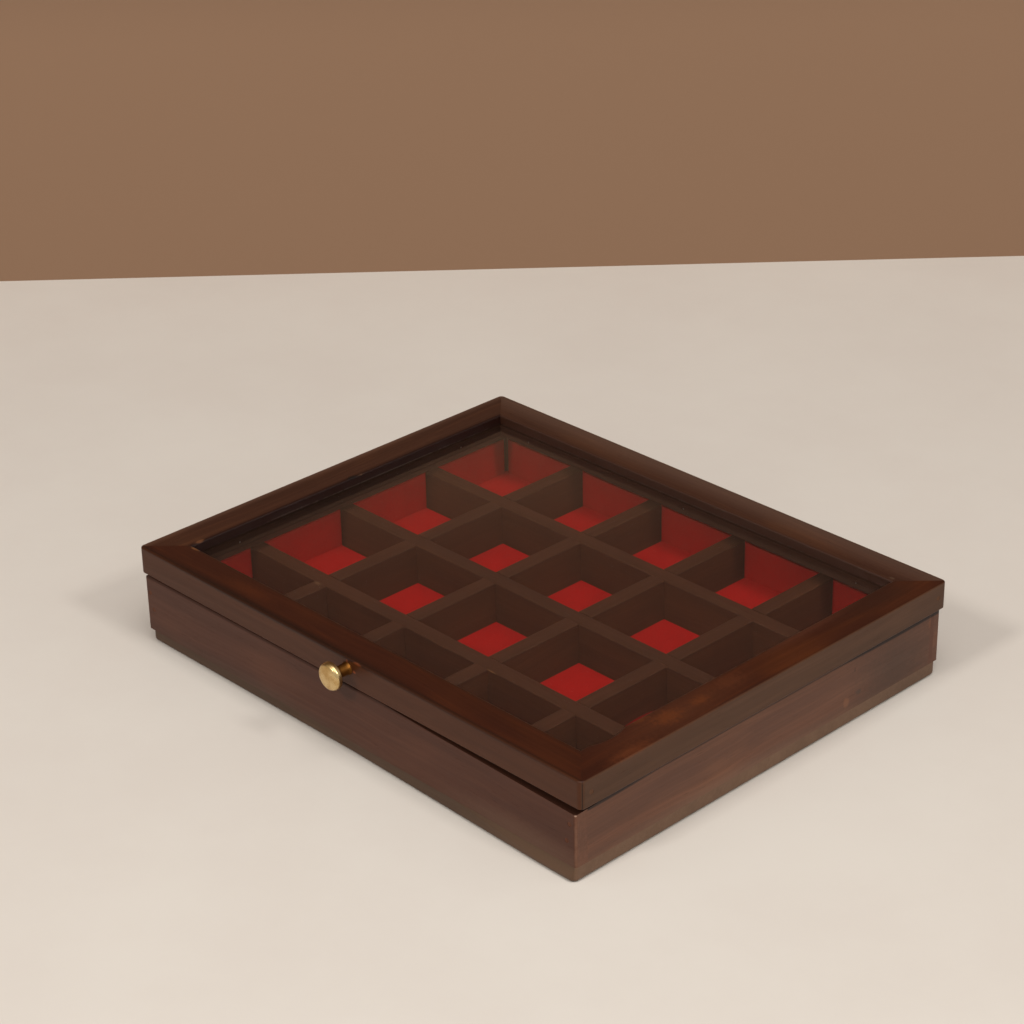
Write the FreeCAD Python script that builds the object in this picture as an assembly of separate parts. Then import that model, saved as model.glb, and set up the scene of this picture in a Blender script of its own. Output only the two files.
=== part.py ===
import FreeCAD, Part
import math
import os

# Wooden compartment box with a hinged glass lid, in millimetres.
# +Z is up and the origin is the middle of the underside.
# The knob is at the front, -Y, and the hinges are at the back, +Y.

# Box walls and bottom
box_length = 248.8
box_depth = 205.4
box_height = 31.2
wall_thickness = 6.0
wall_corner_radius = 1.2
wall_edge_radius = 1.2  # top edge of the front and back walls
end_wall_edge_radius = 1.8  # top edge of the left and right walls
corner_dip = 2.6  # the rim has sunk by this much at the front right corner
corner_dip_front_run = 110.0
corner_dip_side_run = 60.0
bottom_thickness = 6.4
bottom_corner_radius = 2.6
bottom_edge_radius = 1.8
bottom_back_inset = 0.9
bottom_front_inset = 1.4  # the bottom's front edge lies back at the left
bottom_front_lip = 1.2  # and stands proud at the right
bottom_front_turn_shares = (0.02, 0.86)  # of the half length, where that edge turns
bottom_slope_share = 0.65  # of the bottom's thickness, where the proud part slopes out

# Felt linings
floor_felt_thickness = 1.5
wall_felt_thickness = 1.0
wall_felt_drop = 6.4  # box rim down to the top of the wall felt
wall_felt_corner_gap = 2.6  # bare wood left at each inner corner
felt_clearance = 0.2

# Compartment dividers
column_count = 5
row_count = 4
end_column_extra = 1.35  # the outer columns are wider by this much
divider_thickness = 7.2
divider_drop = 5.4  # box rim down to the top of the dividers
divider_edge_radius = 0.5
divider_end_clearance = 0.3
lap_clearance = 0.1

# Lid frame, glass and glazing beads
lid_side_overhang = 2.6
lid_face_inset = 0.2  # the lid's front and back stand in by this much
seam_gap = 0.25
rail_width = 15.4
rail_corner_radius = 2.2
rail_edge_radius = 0.7
rail_lower_edge_radius = 0.5
rail_inner_edge_radius = 0.8
rail_dent_depth = 1.8  # a worn dip in the window edge of the right rail
rail_dent_length = 21.0
rail_dent_place_share = -0.85  # of the half window
rebate_width = 5.0
glass_recess = 4.2  # frame top down to the glass
glass_thickness = 3.0
glass_edge_clearance = 0.5
glass_corner_radius = 1.0
bead_height = 4.65
bead_clearance = 0.1

# Hinges
hinge_spacing = 150.0
hinge_length = 22.0
hinge_axis_inset = 1.5  # back face in to the pin
hinge_leaf_reach = 4.3  # pin to the leaf's inner edge
hinge_leaf_thickness = 0.7
hinge_barrel_radius = 1.3
hinge_pin_radius = 0.5
hinge_pin_clearance = 0.05
hinge_clearance = 0.3
leaf_clearance = 0.1
knuckle_count = 5
knuckle_gap = 0.2
lid_stop_angle = 101.0  # degrees, where the back bevels meet
axis_relief_share = 1.5

# Hinge nails
leaf_nail_length = 7.0
leaf_nail_head_share = 0.36
leaf_nail_shank_share = 0.5
leaf_nail_place_shares = (-0.34, 0.0, 0.34)

# Wire brads and glazing pins
brad_radius = 0.6
brad_head_radius = 1.0
brad_head_thickness = 0.6
brad_set = 0.05  # face in to the top of the head
brad_clearance = 0.05
corner_brad_length = 18.0
corner_brad_height_shares = (0.4, 0.7)
corner_brad_inset_shares = (0.75, 0.5)  # of the wall thickness
bottom_brad_length = 16.0
bottom_brad_inset_share = 0.62  # of the wall thickness
bottom_brad_length_shares = (-0.4, 0.0, 0.4)
bottom_brad_depth_shares = (-0.25, 0.25)
lid_brad_length = 20.0
glazing_pin_radius = 0.45
glazing_pin_grip_share = 0.4
glazing_pin_length_shares = (-0.42, 0.0, 0.42)
glazing_pin_depth_shares = (-0.36, 0.36)

# Knob
knob_offset = 2.6  # the knob is fitted a little right of the middle
knob_rise = 1.2  # above the middle of the front rail
knob_reach = 10.3
knob_head_radius = 5.75
knob_rim_thickness = 1.1
knob_dome_height = 2.0
knob_dome_radius_shares = (1.0, 0.96, 0.86, 0.70, 0.45, 0.20, 0.0)  # of the head, from the rim in
knob_dome_height_shares = (0.0, 0.40, 0.72, 0.87, 0.95, 0.99, 1.0)
knob_stem_radius_shares = (0.49, 0.44, 0.42, 0.45, 0.62)  # of the head, from the foot on
knob_stem_place_shares = (0.0, 0.14, 0.45, 0.74, 0.92)  # of the way to the rim
stud_radius = 1.2
stud_knob_share = 0.6
stud_rail_share = 0.85
stud_clearance = 0.05

# Cuts and matching
overrun = 1.0
match_tolerance = 0.001
fillet_limit_share = 0.8

# Places worked out from the sizes above
half_length = box_length / 2
half_depth = box_depth / 2
inner_half_length = half_length - wall_thickness
inner_half_depth = half_depth - wall_thickness
felt_half_length = inner_half_length - wall_felt_thickness
felt_half_depth = inner_half_depth - wall_felt_thickness
floor_top = bottom_thickness + floor_felt_thickness
felt_top = box_height - wall_felt_drop
divider_top = box_height - divider_drop
lid_half_length = half_length + lid_side_overhang
lid_half_depth = half_depth - lid_face_inset
lid_bottom = box_height + seam_gap
glass_bottom = lid_bottom + bead_height
glass_top = glass_bottom + glass_thickness
lid_top = glass_top + glass_recess
rail_web = rail_width - rebate_width
rebate_half_length = lid_half_length - rail_web
rebate_half_depth = lid_half_depth - rail_web
window_half_length = lid_half_length - rail_width
window_half_depth = lid_half_depth - rail_width
hinge_y = half_depth - hinge_axis_inset
hinge_z = box_height + seam_gap / 2
leaf_flat = hinge_leaf_reach - hinge_barrel_radius - hinge_clearance
leaf_nail_y = hinge_y - hinge_leaf_reach + leaf_flat / 2
leaf_nail_head_radius = leaf_flat * leaf_nail_head_share
knob_z = (lid_bottom + lid_top) / 2 + knob_rise

sides = {"front": (0, -1), "back": (0, 1), "left": (-1, 0), "right": (1, 0)}
hinge_places = {"left": -hinge_spacing / 2, "right": hinge_spacing / 2}
point = FreeCAD.Vector
up = point(0, 0, 1)


def block(x0, x1, y0, y1, z0, z1):
    return Part.makeBox(x1 - x0, y1 - y0, z1 - z0, point(x0, y0, z0))


def rod(radius, start, end):
    return Part.makeCylinder(radius, (end - start).Length, start, end - start)


def edges_at_level(solid, level):
    def is_level(edge):
        box = edge.BoundBox
        return max(abs(box.ZMin - level), abs(box.ZMax - level)) < match_tolerance
    return [edge for edge in solid.Edges if is_level(edge)]


def rounded_block(x0, x1, y0, y1, z0, z1, corner_radius, edge_radii):
    return round_off(block(x0, x1, y0, y1, z0, z1), corner_radius, edge_radii)


def round_off(solid, corner_radius, edge_radii):
    # rounds the upright corner edges, then the rim at each level of edge_radii
    box = solid.BoundBox

    def is_corner(edge):
        at_end = abs(abs(edge.BoundBox.Center.x - box.Center.x) - box.XLength / 2) < match_tolerance
        return at_end and edge.BoundBox.ZLength > box.ZLength / 2
    solid = solid.makeFillet(corner_radius, [edge for edge in solid.Edges if is_corner(edge)])
    for level, radius in edge_radii:
        rim = edges_at_level(solid, level)
        solid = solid.makeFillet(min(radius, corner_radius * fillet_limit_share), rim)
    return solid


def mitre_block(side, half_x, half_y, width, z0, z1):
    # the trapezium of one side of a mitred frame
    side_x, side_y = sides[side]
    corners = []
    turns = ((-overrun, -1), (-overrun, 1), (width + overrun, 1), (width + overrun, -1))
    for inward, turn in turns:
        x = (side_x or turn) * (half_x - inward)
        y = (side_y or turn) * (half_y - inward)
        corners.append(point(x, y, z0))
    face = Part.Face(Part.makePolygon(corners + corners[:1]))
    return face.extrude(up * (z1 - z0))


def cut_all(solid, tools):
    for tool in tools:
        solid = solid.cut(tool)
    return solid.removeSplitter()


# Brads: each place is the point on the face, the way in and the length

def brad(place):
    face_point, inward, length = place
    top = face_point + inward * brad_set
    shank = rod(brad_radius, top, face_point + inward * length)
    return shank.fuse(rod(brad_head_radius, top, top + inward * brad_head_thickness))


def brad_hole(place):
    face_point, inward, length = place
    start = face_point - inward * overrun
    head_end = face_point + inward * (brad_set + brad_head_thickness + brad_clearance)
    shank_end = face_point + inward * (length + brad_clearance)
    shank = rod(brad_radius + brad_clearance, start, shank_end)
    return shank.fuse(rod(brad_head_radius + brad_clearance, start, head_end))


def corner_brad_places():
    places = []
    wall_height = box_height - bottom_thickness
    for side_y in (-1, 1):
        for side_x in (-1, 1):
            for height_share, inset_share in zip(corner_brad_height_shares, corner_brad_inset_shares):
                x = half_length - wall_thickness * inset_share
                z = bottom_thickness + wall_height * height_share
                spot = point(side_x * x, side_y * half_depth, z)
                places.append((spot, point(0, -side_y, 0), corner_brad_length))
    return places


def bottom_brad_places():
    places = []
    inset = wall_thickness * bottom_brad_inset_share
    for side in (-1, 1):
        for share in bottom_brad_length_shares:
            spot = point(box_length * share, side * (half_depth - inset), 0)
            places.append((spot, up, bottom_brad_length))
        for share in bottom_brad_depth_shares:
            spot = point(side * (half_length - inset), box_depth * share, 0)
            places.append((spot, up, bottom_brad_length))
    return places


def lid_brad_places():
    # one through each mitre, driven from the side rails
    places = []
    middle = (lid_bottom + lid_top) / 2
    for side_x in (-1, 1):
        for side_y in (-1, 1):
            spot = point(side_x * lid_half_length, side_y * (lid_half_depth - rail_web / 2), middle)
            places.append((spot, point(-side_x, 0, 0), lid_brad_length))
    return places


# Glazing pins: driven outwards through the beads into the rails

def glazing_pin_ends():
    ends = []
    z = (lid_bottom + glass_bottom) / 2
    reach = rebate_width + rail_web * glazing_pin_grip_share
    for side in (-1, 1):
        for share in glazing_pin_length_shares:
            x = 2 * window_half_length * share
            inner = point(x, side * window_half_depth, z)
            ends.append((inner, inner + point(0, side * reach, 0)))
        for share in glazing_pin_depth_shares:
            y = 2 * window_half_depth * share
            inner = point(side * window_half_length, y, z)
            ends.append((inner, inner + point(side * reach, 0, 0)))
    return ends


def glazing_pin_holes():
    holes = []
    for inner, outer in glazing_pin_ends():
        inward = (inner - outer).normalize()
        start = inner + inward * overrun
        holes.append(rod(glazing_pin_radius + brad_clearance, start, outer - inward * brad_clearance))
    return holes


# Hinges

def hinge_span(side):
    middle = hinge_places[side]
    return middle - hinge_length / 2, middle + hinge_length / 2


def hinge_rod(radius, x0, x1):
    return rod(radius, point(x0, hinge_y, hinge_z), point(x1, hinge_y, hinge_z))


def leaf_nail(x, top_z, way, slack):
    # a countersunk nail whose head is flush with its leaf
    head_radius = leaf_nail_head_radius + slack
    shank_radius = leaf_nail_head_radius * leaf_nail_shank_share + slack
    start = point(x, leaf_nail_y, top_z)
    head = Part.makeCone(head_radius, shank_radius, hinge_leaf_thickness, start, up * way)
    return head.fuse(rod(shank_radius, start, start + up * (way * (leaf_nail_length + slack))))


def leaf_nail_places(side):
    return [hinge_places[side] + hinge_length * share for share in leaf_nail_place_shares]


def leaf_nails(face_z, way, slack):
    return [leaf_nail(x, face_z, way, slack) for side in hinge_places for x in leaf_nail_places(side)]


def hinge_leaf(side, face_z, way, own_parity):
    # face_z is the flush face of the leaf, and way points into its wood
    x0, x1 = hinge_span(side)
    z0, z1 = sorted((face_z, face_z + way * hinge_leaf_thickness))
    plate = block(x0, x1, hinge_y - hinge_leaf_reach, hinge_y, z0, z1)
    leaf = plate.fuse(hinge_rod(hinge_barrel_radius, x0, x1))
    knuckle = (x1 - x0) / knuckle_count
    room = hinge_barrel_radius + hinge_clearance
    tools = [hinge_rod(hinge_pin_radius + hinge_pin_clearance, x0 - overrun, x1 + overrun)]
    for index in range(knuckle_count):
        if index % 2 != own_parity:
            start = x0 - overrun if index == 0 else x0 + index * knuckle - knuckle_gap / 2
            last = index == knuckle_count - 1
            end = x1 + overrun if last else x0 + (index + 1) * knuckle + knuckle_gap / 2
            tools.append(block(start, end, hinge_y - room, hinge_y + room, hinge_z - room, hinge_z + room))
    tools += [leaf_nail(x, face_z, way, brad_clearance) for x in leaf_nail_places(side)]
    return cut_all(leaf, tools)


def hinge_recesses(face_z, way):
    # what the hinges take out of the wall or the rail they are let into
    tools = []
    for side in hinge_places:
        x0, x1 = hinge_span(side)
        z0, z1 = sorted((face_z - way * overrun, face_z + way * hinge_leaf_thickness))
        inner = hinge_y - hinge_leaf_reach - leaf_clearance
        tools.append(block(x0 - leaf_clearance, x1 + leaf_clearance, inner, hinge_y, z0, z1))
        barrel_room = hinge_barrel_radius + hinge_clearance
        tools.append(hinge_rod(barrel_room, x0 - hinge_clearance, x1 + hinge_clearance))
    tools += leaf_nails(face_z, way, brad_clearance)
    return tools


def back_bevel(way):
    # the bevel along the back edge that lets the lid swing and then stops it
    reach = hinge_axis_inset + overrun
    rise = reach * math.tan(math.radians(lid_stop_angle / 2))
    x = lid_half_length + overrun
    corners = [
        point(-x, hinge_y, hinge_z),
        point(-x, hinge_y + reach, hinge_z),
        point(-x, hinge_y + reach, hinge_z + way * rise),
    ]
    wedge = Part.Face(Part.makePolygon(corners + corners[:1])).extrude(point(2 * x, 0, 0))
    return [wedge, hinge_rod(seam_gap * axis_relief_share, -x, x)]


# Box body

def bottom_panel():
    # the front edge isn't square to the sides
    back = half_depth - bottom_back_inset
    left_front = bottom_front_inset - half_depth
    right_front = -half_depth - bottom_front_lip
    turn_start, turn_end = [half_length * share for share in bottom_front_turn_shares]
    corners = [
        point(-half_length, left_front, 0),
        point(turn_start, left_front, 0),
        point(turn_end, right_front, 0),
        point(half_length, right_front, 0),
        point(half_length, back, 0),
        point(-half_length, back, 0),
    ]
    board = Part.Face(Part.makePolygon(corners + corners[:1])).extrude(up * bottom_thickness)
    panel = round_off(board, bottom_corner_radius, [(0, bottom_edge_radius)])
    return cut_all(panel, [bottom_slope()] + [brad_hole(place) for place in bottom_brad_places()])


def bottom_slope():
    # takes off the ledge of the proud part, so that it slopes out from the wall
    out = -half_depth - 2 * bottom_front_lip
    drop = 2 * bottom_thickness * bottom_slope_share
    x = half_length + overrun
    corners = [
        point(-x, -half_depth, bottom_thickness),
        point(-x, out, bottom_thickness),
        point(-x, out, bottom_thickness - drop),
    ]
    return Part.Face(Part.makePolygon(corners + corners[:1])).extrude(point(2 * x, 0, 0))


def rim_easing(side):
    # rounds the outer top edge of one wall, drawn at the back and turned into place
    side_x, side_y = sides[side]
    radius = end_wall_edge_radius if side_x else wall_edge_radius
    face = half_length if side_x else half_depth
    run = half_length + half_depth
    inner = face - radius
    low = box_height - radius
    corner = block(-run, run, inner, face + overrun, low, box_height + overrun)
    rounding = rod(radius, point(-run, inner, low), point(run, inner, low))
    turn = math.degrees(math.atan2(-side_x, side_y))
    return corner.cut(rounding).rotated(point(0, 0, 0), up, turn)


def sunk_corner():
    # a slanting cut over the front right corner, where the seam gapes
    front_run = corner_dip_front_run * (1 + overrun / corner_dip_side_run)
    side_run = corner_dip_side_run * (1 + overrun / corner_dip_front_run)
    depth = corner_dip * (1 + overrun / corner_dip_front_run + overrun / corner_dip_side_run)
    x = half_length + overrun
    y = -half_depth - overrun
    corners = [
        point(x, y, box_height - depth),
        point(half_length - front_run, y, box_height),
        point(x, side_run - half_depth, box_height),
    ]
    face = Part.Face(Part.makePolygon(corners + corners[:1]))
    return face.extrude(up * (depth + overrun))


def box_walls():
    outer = rounded_block(-half_length, half_length, -half_depth, half_depth,
                          bottom_thickness, box_height, wall_corner_radius, [])
    outer = cut_all(outer, [rim_easing(side) for side in sides] + [sunk_corner()])
    inside = block(-inner_half_length, inner_half_length, -inner_half_depth, inner_half_depth,
                   bottom_thickness - overrun, box_height + overrun)
    ring = outer.cut(inside)
    holes = [brad_hole(place) for place in corner_brad_places() + bottom_brad_places()]
    low = bottom_thickness - overrun
    high = box_height + overrun
    walls = {}
    for side, (side_x, side_y) in sides.items():
        if side_y:
            y0, y1 = sorted((side_y * inner_half_depth, side_y * (half_depth + overrun)))
            slab = block(-half_length - overrun, half_length + overrun, y0, y1, low, high)
        else:
            x0, x1 = sorted((side_x * inner_half_length, side_x * (half_length + overrun)))
            slab = block(x0, x1, -inner_half_depth, inner_half_depth, low, high)
        tools = list(holes)
        if side == "back":
            tools += back_bevel(-1) + hinge_recesses(box_height, -1)
        walls[side + "_wall"] = cut_all(ring.common(slab), tools)
    return walls


def linings():
    room_x = inner_half_length - felt_clearance
    room_y = inner_half_depth - felt_clearance
    felts = {"floor_lining": block(-room_x, room_x, -room_y, room_y, bottom_thickness, floor_top)}
    for side, (side_x, side_y) in sides.items():
        if side_y:
            y0, y1 = sorted((side_y * felt_half_depth, side_y * inner_half_depth))
            end = inner_half_length - wall_felt_corner_gap
            felts[side + "_lining"] = block(-end, end, y0, y1, floor_top, felt_top)
        else:
            x0, x1 = sorted((side_x * felt_half_length, side_x * inner_half_length))
            end = inner_half_depth - wall_felt_corner_gap
            felts[side + "_lining"] = block(x0, x1, -end, end, floor_top, felt_top)
    return felts


def divider_places(half_span, cell_count, end_extra):
    pitch = (2 * half_span + divider_thickness - 2 * end_extra) / cell_count
    return [(index - cell_count / 2) * pitch for index in range(1, cell_count)]


def divider_bar(half_run):
    # a bar along X with its two upper edges eased
    half = divider_thickness / 2
    bar = block(-half_run, half_run, -half, half, floor_top, divider_top)
    long_edges = [e for e in edges_at_level(bar, divider_top) if e.BoundBox.XLength > half_run]
    return bar.makeFillet(divider_edge_radius, long_edges)


def dividers():
    columns = divider_places(felt_half_length, column_count, end_column_extra)
    rows = divider_places(felt_half_depth, row_count, 0)
    lap = (floor_top + divider_top) / 2
    notch = divider_thickness / 2 + lap_clearance
    half = divider_thickness / 2 + overrun
    long_run = felt_half_length - divider_end_clearance
    cross_run = felt_half_depth - divider_end_clearance
    bars = {}
    long_notches = [
        block(x - notch, x + notch, -half, half, floor_top - overrun, lap + lap_clearance) for x in columns
    ]
    for number, y in enumerate(rows, 1):
        bar = cut_all(divider_bar(long_run), long_notches)
        bars["long_divider_%d" % number] = bar.translated(point(0, y, 0))
    cross_notches = [block(y - notch, y + notch, -half, half, lap, divider_top + overrun) for y in rows]
    for number, x in enumerate(columns, 1):
        bar = cut_all(divider_bar(cross_run), cross_notches)
        turned = bar.rotated(point(0, 0, 0), up, 90)
        bars["cross_divider_%d" % number] = turned.translated(point(x, 0, 0))
    return bars


# Lid

def lid_rails():
    frame = rounded_block(-lid_half_length, lid_half_length, -lid_half_depth, lid_half_depth,
                          lid_bottom, lid_top, rail_corner_radius,
                          [(lid_top, rail_edge_radius), (lid_bottom, rail_lower_edge_radius)])
    window = block(-window_half_length, window_half_length, -window_half_depth, window_half_depth,
                   lid_bottom - overrun, lid_top + overrun)
    rebate = block(-rebate_half_length, rebate_half_length, -rebate_half_depth, rebate_half_depth,
                   lid_bottom - overrun, glass_top)
    ring = frame.cut(window).cut(rebate)
    holes = [brad_hole(place) for place in lid_brad_places()] + glazing_pin_holes()
    rails = {}
    for side, (side_x, side_y) in sides.items():
        rail = ring.common(mitre_block(side, lid_half_length, lid_half_depth, rail_width,
                                       lid_bottom - overrun, lid_top + overrun))
        rail = rail.makeFillet(rail_inner_edge_radius, inner_top_edges(rail, side_x, side_y))
        tools = list(holes)
        if side == "back":
            tools += back_bevel(1) + hinge_recesses(lid_bottom, 1)
        if side == "front":
            tools.append(stud(stud_clearance))
        if side == "right":
            tools.append(rail_dent())
        rails["lid_%s_rail" % side] = cut_all(rail, tools)
    return rails


def rail_dent():
    # a shallow scoop across the window edge, near the front right corner
    half_run = rail_dent_length / 2
    radius = (half_run ** 2 + rail_dent_depth ** 2) / (2 * rail_dent_depth)
    edge = point(window_half_length, rail_dent_place_share * window_half_depth, lid_top)
    outward = point(-1, 0, 1).normalize()
    along = point(1, 0, 1).normalize() * rail_width
    middle = edge + outward * (radius - rail_dent_depth)
    return rod(radius, middle - along, middle + along)


def inner_top_edges(rail, side_x, side_y):
    # the edge of the window on this rail
    target = window_half_length if side_x else window_half_depth
    edges = []
    for edge in edges_at_level(rail, lid_top):
        middle = edge.BoundBox.Center
        place = side_x * middle.x + side_y * middle.y
        if abs(place - target) < match_tolerance:
            edges.append(edge)
    return edges


def glass_pane():
    x = rebate_half_length - glass_edge_clearance
    y = rebate_half_depth - glass_edge_clearance
    return rounded_block(-x, x, -y, y, glass_bottom, glass_top, glass_corner_radius, [])


def glazing_beads():
    x = rebate_half_length - bead_clearance
    y = rebate_half_depth - bead_clearance
    outer = block(-x, x, -y, y, lid_bottom, glass_bottom)
    window = block(-window_half_length, window_half_length, -window_half_depth, window_half_depth,
                   lid_bottom - overrun, glass_bottom + overrun)
    ring = outer.cut(window)
    beads = {}
    for side in sides:
        bead = ring.common(mitre_block(side, x, y, rebate_width, lid_bottom, glass_bottom))
        beads[side + "_glazing_bead"] = cut_all(bead, glazing_pin_holes())
    return beads


# Knob and the stud that holds it

def knob_point(radius, reach):
    return point(knob_offset + radius, -lid_half_depth - reach, knob_z)


def stud(slack):
    end = -rail_web * stud_rail_share - slack
    start = knob_reach * stud_knob_share + slack
    return rod(stud_radius + slack, knob_point(0, end), knob_point(0, start))


def knob():
    # turned outline: foot, stem, rim and domed face
    rim_front = knob_reach - knob_dome_height
    rim_back = rim_front - knob_rim_thickness
    stem_points = []
    for radius_share, place_share in zip(knob_stem_radius_shares, knob_stem_place_shares):
        stem_points.append(knob_point(knob_head_radius * radius_share, rim_back * place_share))
    stem = Part.BSplineCurve()
    stem.interpolate(stem_points + [knob_point(knob_head_radius, rim_back)])
    dome_points = []
    for radius_share, height_share in zip(knob_dome_radius_shares, knob_dome_height_shares):
        dome_points.append(knob_point(knob_head_radius * radius_share,
                                      rim_front + knob_dome_height * height_share))
    dome = Part.BSplineCurve()
    dome.interpolate(dome_points)
    foot = Part.makePolygon([dome_points[-1], knob_point(0, 0), stem_points[0]])
    rim = Part.makeLine(knob_point(knob_head_radius, rim_back), knob_point(knob_head_radius, rim_front))
    wire = Part.Wire(Part.sortEdges(foot.Edges + [stem.toShape(), rim, dome.toShape()])[0])
    solid = Part.Face(wire).revolve(knob_point(0, 0), point(0, 1, 0), 360)
    return cut_all(solid, [stud(stud_clearance)])


def all_nodes():
    nodes = {"bottom_panel": bottom_panel()}
    nodes.update(box_walls())
    nodes["corner_brads"] = Part.makeCompound([brad(place) for place in corner_brad_places()])
    nodes["bottom_brads"] = Part.makeCompound([brad(place) for place in bottom_brad_places()])
    nodes.update(linings())
    nodes.update(dividers())
    for side in hinge_places:
        nodes[side + "_hinge_box_leaf"] = hinge_leaf(side, box_height, -1, 0)
        nodes[side + "_hinge_lid_leaf"] = hinge_leaf(side, lid_bottom, 1, 1)
        nodes[side + "_hinge_pin"] = hinge_rod(hinge_pin_radius, *hinge_span(side))
    nodes["box_leaf_nails"] = Part.makeCompound(leaf_nails(box_height, -1, 0))
    nodes["lid_leaf_nails"] = Part.makeCompound(leaf_nails(lid_bottom, 1, 0))
    nodes.update(lid_rails())
    nodes["lid_corner_brads"] = Part.makeCompound([brad(place) for place in lid_brad_places()])
    nodes["glass_pane"] = glass_pane()
    nodes.update(glazing_beads())
    pins = [rod(glazing_pin_radius, inner, outer) for inner, outer in glazing_pin_ends()]
    nodes["glazing_pins"] = Part.makeCompound(pins)
    nodes["knob"] = knob()
    nodes["knob_stud"] = stud(0)
    return nodes


os.makedirs("parts", exist_ok=True)
for name, shape in all_nodes().items():
    shape.exportStep("parts/%s.step" % name)
    print(name, len(shape.Solids), shape.isValid(), round(shape.Volume, 1))
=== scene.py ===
import math
import bpy
from mathutils import Matrix, Vector, noise


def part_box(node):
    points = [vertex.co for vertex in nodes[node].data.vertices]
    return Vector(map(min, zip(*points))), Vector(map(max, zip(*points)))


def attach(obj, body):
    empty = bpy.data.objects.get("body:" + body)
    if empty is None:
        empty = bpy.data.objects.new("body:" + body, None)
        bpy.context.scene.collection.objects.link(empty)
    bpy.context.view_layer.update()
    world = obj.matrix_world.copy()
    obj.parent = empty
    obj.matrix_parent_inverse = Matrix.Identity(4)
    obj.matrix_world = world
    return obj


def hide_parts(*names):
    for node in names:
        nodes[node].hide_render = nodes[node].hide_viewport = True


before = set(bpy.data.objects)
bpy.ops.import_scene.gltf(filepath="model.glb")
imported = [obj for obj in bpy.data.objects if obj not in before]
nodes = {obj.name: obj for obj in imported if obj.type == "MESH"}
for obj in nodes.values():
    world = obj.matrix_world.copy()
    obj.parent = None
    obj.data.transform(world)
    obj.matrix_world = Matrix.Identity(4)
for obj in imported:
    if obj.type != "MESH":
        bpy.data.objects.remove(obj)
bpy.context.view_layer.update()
scene = bpy.context.scene
scene.view_settings.view_transform = "Standard"
print("frame loaded with", len(nodes), "nodes")

# the camera looks down on the box's front right corner
cameraSet = {
    "target": (-0.07192, 0.05549, 0.0203),
    "azimuth": 46.588,
    "elevation": 27.064,
    "roll": -1.195,
    "distance": 1.1663,
    "lens": 94.26,
    "sensor": 36.0,
}


def compass(azimuth, elevation):
    turn, rise = math.radians(azimuth), math.radians(elevation)
    flat = math.cos(rise)
    return Vector((math.sin(turn) * flat, -math.cos(turn) * flat, math.sin(rise)))


def addCamera(spec):
    back = compass(spec["azimuth"], spec["elevation"])
    turn, roll = math.radians(spec["azimuth"]), math.radians(spec["roll"])
    level = Vector((math.cos(turn), math.sin(turn), 0))
    upright = back.cross(level)
    sideways = level * math.cos(roll) + upright * math.sin(roll)
    upwards = upright * math.cos(roll) - level * math.sin(roll)
    bpy.ops.object.camera_add()
    camera = bpy.context.object
    place = Vector(spec["target"]) + back * spec["distance"]
    turned = Matrix((sideways, upwards, back)).transposed().to_4x4()
    camera.matrix_world = Matrix.Translation(place) @ turned
    camera.data.sensor_width = spec["sensor"]
    camera.data.lens = spec["lens"]
    scene.camera = camera


addCamera(cameraSet)
print("camera placed")


# small helpers for shader trees; a noise is given as scale, detail and roughness
def feed(tree, socket, value):
    if isinstance(value, bpy.types.NodeSocket):
        tree.links.new(value, socket)
    else:
        socket.default_value = value


def addNode(tree, kind, inputs, **settings):
    node = tree.nodes.new("ShaderNode" + kind)
    for name, value in settings.items():
        setattr(node, name, value)
    for name, value in inputs.items():
        feed(tree, node.inputs[name], value)
    return node


def calc(tree, operation, first, second=0.0):
    return addNode(tree, "Math", {0: first, 1: second}, operation=operation).outputs[0]


def calcVector(tree, operation, first, second):
    return addNode(tree, "VectorMath", {0: first, 1: second}, operation=operation).outputs[0]


def cloud(tree, vector, scale, detail=2.0, rough=0.5):
    inputs = {"Vector": vector, "Scale": scale, "Detail": detail, "Roughness": rough}
    return addNode(tree, "TexNoise", inputs)


def rampTo(tree, value, start, end, low=0.0, high=1.0):
    inputs = {"Value": value, "From Min": start, "From Max": end, "To Min": low, "To Max": high}
    return addNode(tree, "MapRange", inputs, interpolation_type="SMOOTHSTEP").outputs[0]


def mixColour(tree, share, first, second):
    inputs = {0: share, 6: first, 7: second}
    return addNode(tree, "Mix", inputs, data_type="RGBA").outputs[2]


def newGroup(name, inputs, outputs):
    group = bpy.data.node_groups.new(name, "ShaderNodeTree")
    for label, kind in inputs.items():
        group.interface.new_socket(label, in_out="INPUT", socket_type="NodeSocket" + kind)
    for label, kind in outputs.items():
        group.interface.new_socket(label, in_out="OUTPUT", socket_type="NodeSocket" + kind)
    return group, group.nodes.new("NodeGroupInput").outputs, group.nodes.new("NodeGroupOutput").inputs


def useGroup(tree, group, inputs):
    node = tree.nodes.new("ShaderNodeGroup")
    node.node_tree = group
    for name, value in inputs.items():
        feed(tree, node.inputs[name], value)
    return node.outputs


def newMaterial(name):
    material = bpy.data.materials.new(name)
    material.use_nodes = True
    tree = material.node_tree
    return material, tree, tree.nodes["Principled BSDF"]


def objectPlace(tree):
    return addNode(tree, "TexCoord", {}).outputs["Object"]


def axes(tree, vector):
    return addNode(tree, "SeparateXYZ", {0: vector}).outputs


def scaled(tree, first, second):
    return calc(tree, "MULTIPLY", first, second)


def absolute(tree, vector):
    return calcVector(tree, "ABSOLUTE", vector, (0, 0, 0))


def lengthOf(tree, vector):
    return addNode(tree, "VectorMath", {0: vector}, operation="LENGTH").outputs["Value"]


def addRelief(tree, shader, height, strength, depth):
    bump = addNode(tree, "Bump", {"Strength": strength, "Distance": depth, "Height": height})
    feed(tree, shader.inputs["Normal"], bump.outputs[0])


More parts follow.
